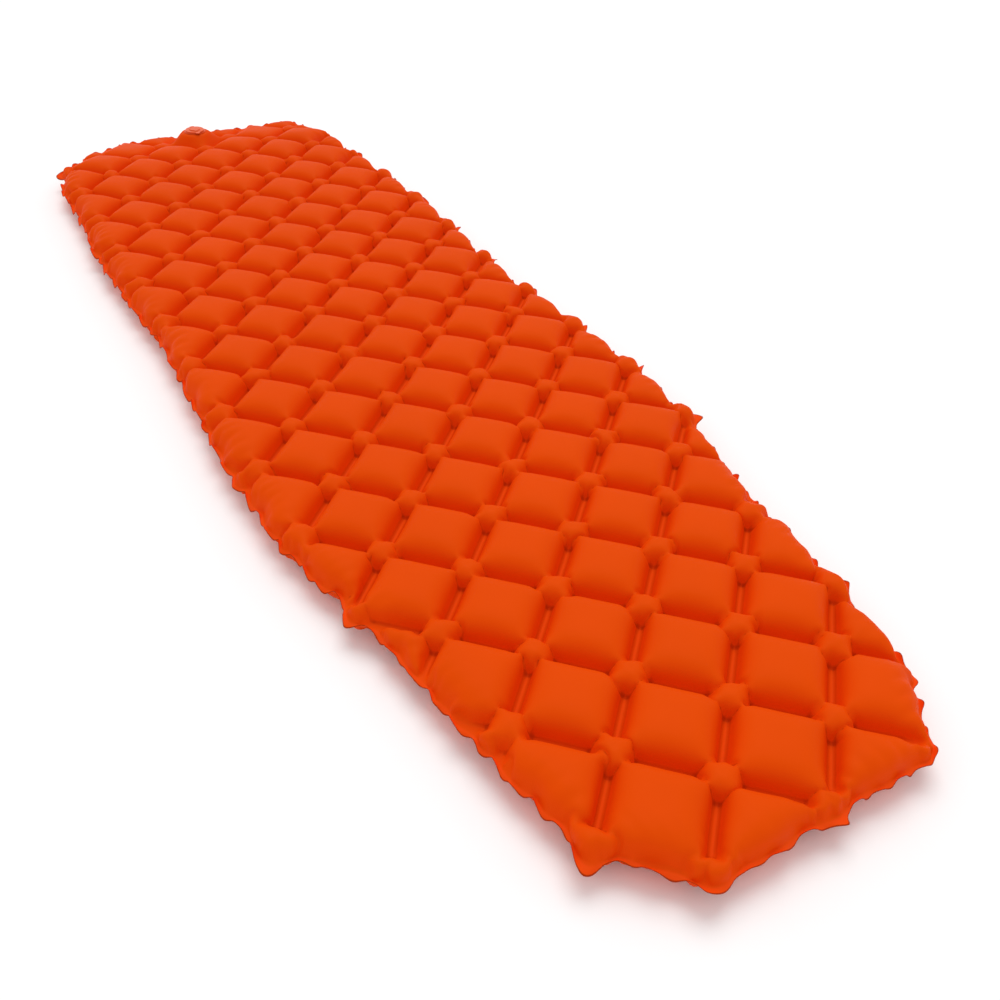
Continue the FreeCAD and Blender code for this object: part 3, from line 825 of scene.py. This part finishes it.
def coated_nylon(name, colour, side, fold, pressed):
    """TPU-coated nylon taffeta: a fine weave under a satin coat, brighter where it was welded, with painted
    bounce light on the steep sides and painted shade in the creases.
    """
    material, tree = new_material(name)
    place = add(tree, "ShaderNodeTexCoord").outputs["Object"]
    weld = add(tree, "ShaderNodeAttribute", attribute_name="weld").outputs["Fac"]
    # Threads lie 0.25 mm apart; they are drawn 1.2 mm apart so that the weave shows.
    threads = []
    for direction in ("X", "Y"):
        threads.append(add(tree, "ShaderNodeTexWave", {
            "Vector": place, "Scale": waves_per(0.0012), "Distortion": 0.4, "Detail": 1.0},
            bands_direction=direction).outputs["Fac"])
    weave = add(tree, "ShaderNodeMath", dict(enumerate(threads)), operation="MULTIPLY").outputs[0]
    # Slow unevenness of the dye and the coat, over about 12 cm.
    cloud = add(tree, "ShaderNodeTexNoise", {"Vector": place, "Scale": 8.0, "Detail": 3.0}).outputs["Fac"]
    dyed = add(tree, "ShaderNodeMix", {
        MIX_SHARE: cloud, MIX_FROM: shade_of(colour, 0.94), MIX_TO: shade_of(colour, 1.04)},
        data_type="RGBA").outputs[MIX_RESULT]
    # Painted bounce light: the steep sides are mixed towards a redder colour that stands in for the light
    # coming back from the next cell.
    steep = add(tree, "ShaderNodeAttribute", attribute_name="steep").outputs["Fac"]
    beside = add(tree, "ShaderNodeMapRange", {
        "Value": steep, "From Min": 0.06, "From Max": 0.60, "To Max": 0.55}).outputs[0]
    bounce_painted = add(tree, "ShaderNodeMix", {
        MIX_SHARE: beside, MIX_FROM: dyed, MIX_TO: list(side)}, data_type="RGBA").outputs[MIX_RESULT]
    between = add(tree, "ShaderNodeMath", {0: weave, 1: 0.10}, operation="MULTIPLY").outputs[0]
    threaded = add(tree, "ShaderNodeMix", {
        MIX_SHARE: between, MIX_FROM: bounce_painted, MIX_TO: shade_of(colour, 0.70)},
        data_type="RGBA").outputs[MIX_RESULT]
    flange = add(tree, "ShaderNodeAttribute", attribute_name="flange").outputs["Fac"]
    cover = add(tree, "ShaderNodeMath", {0: weld, 1: 0.06}, operation="MULTIPLY").outputs[0]
    cover = add(tree, "ShaderNodeMath", {
        0: flange, 1: 0.30, 2: cover}, operation="MULTIPLY_ADD").outputs[0]
    pressed_on = add(tree, "ShaderNodeMix", {
        MIX_SHARE: cover, MIX_FROM: threaded, MIX_TO: list(pressed)}, data_type="RGBA").outputs[MIX_RESULT]
    # Painted shade: the hollow creases beside the welds are mixed towards a dark red that stands in for the
    # little light coming back out of them, so they read as thin dark lines.
    hollow = add(tree, "ShaderNodeAttribute", attribute_name="hollow").outputs["Fac"]
    crease_shade = add(tree, "ShaderNodeMapRange", {
        "Value": hollow, "From Min": 0.07, "From Max": 0.25, "To Max": 0.7}).outputs[0]
    crease_shaded = add(tree, "ShaderNodeMix", {
        MIX_SHARE: crease_shade, MIX_FROM: pressed_on, MIX_TO: list(fold)}, data_type="RGBA").outputs[MIX_RESULT]
    # The flange's cut edge is drawn as a darker line, about 0.7 mm wide and wider on the ears.
    rim = add(tree, "ShaderNodeAttribute", attribute_name="cut_edge").outputs["Fac"]
    edge_darkening = add(tree, "ShaderNodeMapRange", {
        "Value": rim, "From Min": 0.55, "From Max": 0.85, "To Max": 0.8}).outputs[0]
    hue = add(tree, "ShaderNodeMix", {
        MIX_SHARE: edge_darkening, MIX_FROM: crease_shaded, MIX_TO: shade_of(colour, 0.35)},
        data_type="RGBA").outputs[MIX_RESULT]
    gloss = add(tree, "ShaderNodeMapRange", {"Value": weave, "To Min": 0.52, "To Max": 0.42}).outputs[0]
    relief = add(tree, "ShaderNodeBump", {
        "Height": weave, "Strength": 0.12, "Distance": 0.0003}).outputs[0]
    shader = add(tree, "ShaderNodeBsdfPrincipled", {
        "Base Color": hue, "Roughness": gloss, "Normal": relief, "IOR": 1.5, "Specular IOR Level": 0.02})
    add(tree, "ShaderNodeOutputMaterial", {"Surface": shader.outputs[0]})
    return material


def waves_per(pitch):
    """The Scale at which a band texture repeats once in that many metres."""
    return 2.0 * math.pi / (20.0 * pitch)


def moulded(name, colour, rough, grain):
    """Moulded TPU or silicone: the mould's spark-eroded grain breaks up its soft shine."""
    material, tree = new_material(name)
    place = add(tree, "ShaderNodeTexCoord").outputs["Object"]
    texture = add(tree, "ShaderNodeTexNoise", {
        "Vector": place, "Scale": 1.0 / grain, "Detail": 2.0}).outputs["Fac"]
    gloss = add(tree, "ShaderNodeMapRange", {
        "Value": texture, "To Min": rough - 0.08, "To Max": rough + 0.08}).outputs[0]
    relief = add(tree, "ShaderNodeBump", {
        "Height": texture, "Strength": 0.15, "Distance": 0.0002}).outputs[0]
    shader = add(tree, "ShaderNodeBsdfPrincipled", {
        "Base Color": list(colour), "Roughness": gloss, "Normal": relief, "IOR": 1.5,
        "Specular IOR Level": 0.25})
    add(tree, "ShaderNodeOutputMaterial", {"Surface": shader.outputs[0]})
    return material


def painted_floor():
    """Matt white studio floor: a faint unevenness keeps it from looking empty."""
    material, tree = new_material("matt_white_floor")
    place = add(tree, "ShaderNodeTexCoord").outputs["Object"]
    cloud = add(tree, "ShaderNodeTexNoise", {"Vector": place, "Scale": 2.0, "Detail": 2.0}).outputs["Fac"]
    gloss = add(tree, "ShaderNodeMapRange", {"Value": cloud, "To Min": 0.80, "To Max": 0.90}).outputs[0]
    shader = add(tree, "ShaderNodeBsdfPrincipled", {
        "Base Color": linear("#FCFCFC"), "Roughness": gloss, "Specular IOR Level": 0.1})
    add(tree, "ShaderNodeOutputMaterial", {"Surface": shader.outputs[0]})
    return material


# --- operators ---------------------------------------------------------------------------------------
class PAD_OT_inflate_sheets(bpy.types.Operator):
    """Welds the two sheets together along the lattice and the edge, and blows the pad up"""
    bl_idname = "sleeping_pad.inflate_sheets"
    bl_label = "Inflate sheets"

    def execute(self, context):
        quilt, air, finish = context.scene.pad_quilt, context.scene.pad_air, context.scene.pad_finish
        mesh = inflate(quilt, air)
        fill_cells(mesh, CROWN_TOP - WELD_PLANE - quilt.thickness, air.fullness)
        relax_round_valve(mesh)
        gather_seam(mesh, quilt, air)
        # finish.side brings the painted bounce light, and finish.fold the painted crease shade.
        fabric = coated_nylon(
            "tpu_coated_nylon", finish.fabric, finish.side, finish.fold, finish.pressed)
        coat = moulded("tpu_inner_coat", finish.inside, 0.55, 0.004)
        for name, node, side, name_of_slot in (
                ("quilted_top", "top_sheet", 1, "top_fabric"),
                ("quilted_bottom", "bottom_sheet", -1, "bottom_fabric")):
            half = mesh.copy()
            if side > 0:
                cut_hole(half)
            piece = smoothed(half, name)
            mark_creases(piece)
            if side > 0:
                lower_head(piece, air.head_share)
            place_sheet(piece, side, quilt.thickness)
            close_under(piece, side, quilt.thickness, POCKET)
            piece.data.materials.append(fabric)
            piece.data.materials.append(coat)
            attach(piece, "pad")
            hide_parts(node)
        return {"FINISHED"}


class PAD_OT_finish_valve(bpy.types.Operator):
    """Finishes the moulded parts of the two-stage valve and its silicone seals"""
    bl_idname = "sleeping_pad.finish_valve"
    bl_label = "Finish valve"

    def execute(self, context):
        finish = context.scene.pad_finish
        hard = moulded("moulded_tpu", finish.valve, 0.42, 0.0012)
        soft = moulded("silicone", finish.silicone, 0.35, 0.002)
        for names, material in ((HARD_PIECES, hard), (SOFT_PIECES, soft)):
            for name in names:
                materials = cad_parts[name].data.materials
                materials.clear()
                materials.append(material)
        return {"FINISHED"}


class PAD_OT_set_stage(bpy.types.Operator):
    """Sets the floor, the lights and the camera"""
    bl_idname = "sleeping_pad.set_stage"
    bl_label = "Set stage"

    def execute(self, context):
        bpy.ops.object.select_all(action="DESELECT")
        bpy.ops.mesh.primitive_plane_add(size=24.0)
        floor = context.object
        floor.name = "floor"
        floor.data.materials.append(painted_floor())
        light_world(context.scene)
        light_pad()
        aim_camera(context.scene)
        return {"FINISHED"}


def light_world(scene):
    """A white studio all round; the floor and the pad get less light from it than the camera sees."""
    world = scene.world or bpy.data.worlds.new("studio")
    scene.world = world
    world.use_nodes = True
    tree = world.node_tree
    tree.nodes.clear()
    path = add(tree, "ShaderNodeLightPath")
    seen = path.outputs["Is Camera Ray"]
    for other in ("Is Glossy Ray", "Is Transmission Ray"):
        seen = add(tree, "ShaderNodeMath", {
            0: seen, 1: path.outputs[other]}, operation="MAXIMUM").outputs[0]
    level = add(tree, "ShaderNodeMapRange", {"Value": seen, "To Min": 0.76, "To Max": 1.0}).outputs[0]
    sky = add(tree, "ShaderNodeBackground", {"Color": (1.0, 1.0, 1.0, 1.0), "Strength": level})
    add(tree, "ShaderNodeOutputWorld", {"Surface": sky.outputs[0]})


def light_pad():
    """One broad soft key from above the head end."""
    bpy.ops.object.light_add(type="SUN")
    key = bpy.context.object
    key.name = "key_light"
    key.data.energy = 1.12
    key.data.angle = math.radians(45.0)
    key.rotation_euler = Vector((-0.25, -0.42, -1.0)).to_track_quat("-Z", "Y").to_euler()


def aim_camera(scene):
    """Three quarters from the foot end, at the height of a person who kneels."""
    bpy.ops.object.camera_add(location=CAMERA_PLACE)
    camera = bpy.context.object
    camera.name = "camera"
    camera.data.lens = CAMERA_LENS
    camera.data.sensor_width = CAMERA_SENSOR
    camera.data.clip_end = 50.0
    flat = math.cos(CAMERA_DOWN)
    ahead = Vector((
        math.sin(CAMERA_AZIMUTH) * flat, math.cos(CAMERA_AZIMUTH) * flat, -math.sin(CAMERA_DOWN)))
    camera.rotation_euler = ahead.to_track_quat("-Z", "Y").to_euler()
    camera.rotation_euler.rotate_axis("Z", CAMERA_ROLL)
    scene.camera = camera


class PAD_PT_pieces(bpy.types.Panel):
    """Makes the pad's pieces one by one"""
    bl_idname = "PAD_PT_pieces"
    bl_label = "Sleeping pad"
    bl_space_type = "VIEW_3D"
    bl_region_type = "UI"
    bl_category = "Sleeping Pad"

    def draw(self, context):
        for group in (context.scene.pad_quilt, context.scene.pad_air, context.scene.pad_finish):
            column = self.layout.column()
            for name in group.bl_rna.properties.keys():
                if name not in ("rna_type", "name"):
                    column.prop(group, name)
        for operator in OPERATORS:
            self.layout.operator(operator.bl_idname)


OPERATORS = (PAD_OT_inflate_sheets, PAD_OT_finish_valve, PAD_OT_set_stage)
SETTINGS = (("pad_quilt", QuiltSettings), ("pad_air", AirSettings), ("pad_finish", FinishSettings))


def register():
    for name, group in SETTINGS:
        bpy.utils.register_class(group)
        setattr(bpy.types.Scene, name, bpy.props.PointerProperty(type=group))
    for operator in OPERATORS:
        bpy.utils.register_class(operator)
    bpy.utils.register_class(PAD_PT_pieces)


def unregister():
    bpy.utils.unregister_class(PAD_PT_pieces)
    for operator in reversed(OPERATORS):
        bpy.utils.unregister_class(operator)
    for name, group in reversed(SETTINGS):
        delattr(bpy.types.Scene, name)
        bpy.utils.unregister_class(group)


def main():
    register()
    bpy.context.scene.view_settings.view_transform = "Standard"
    bpy.ops.sleeping_pad.set_stage()
    bpy.ops.sleeping_pad.inflate_sheets()
    bpy.ops.sleeping_pad.finish_valve()


if __name__ == "__main__":
    main()
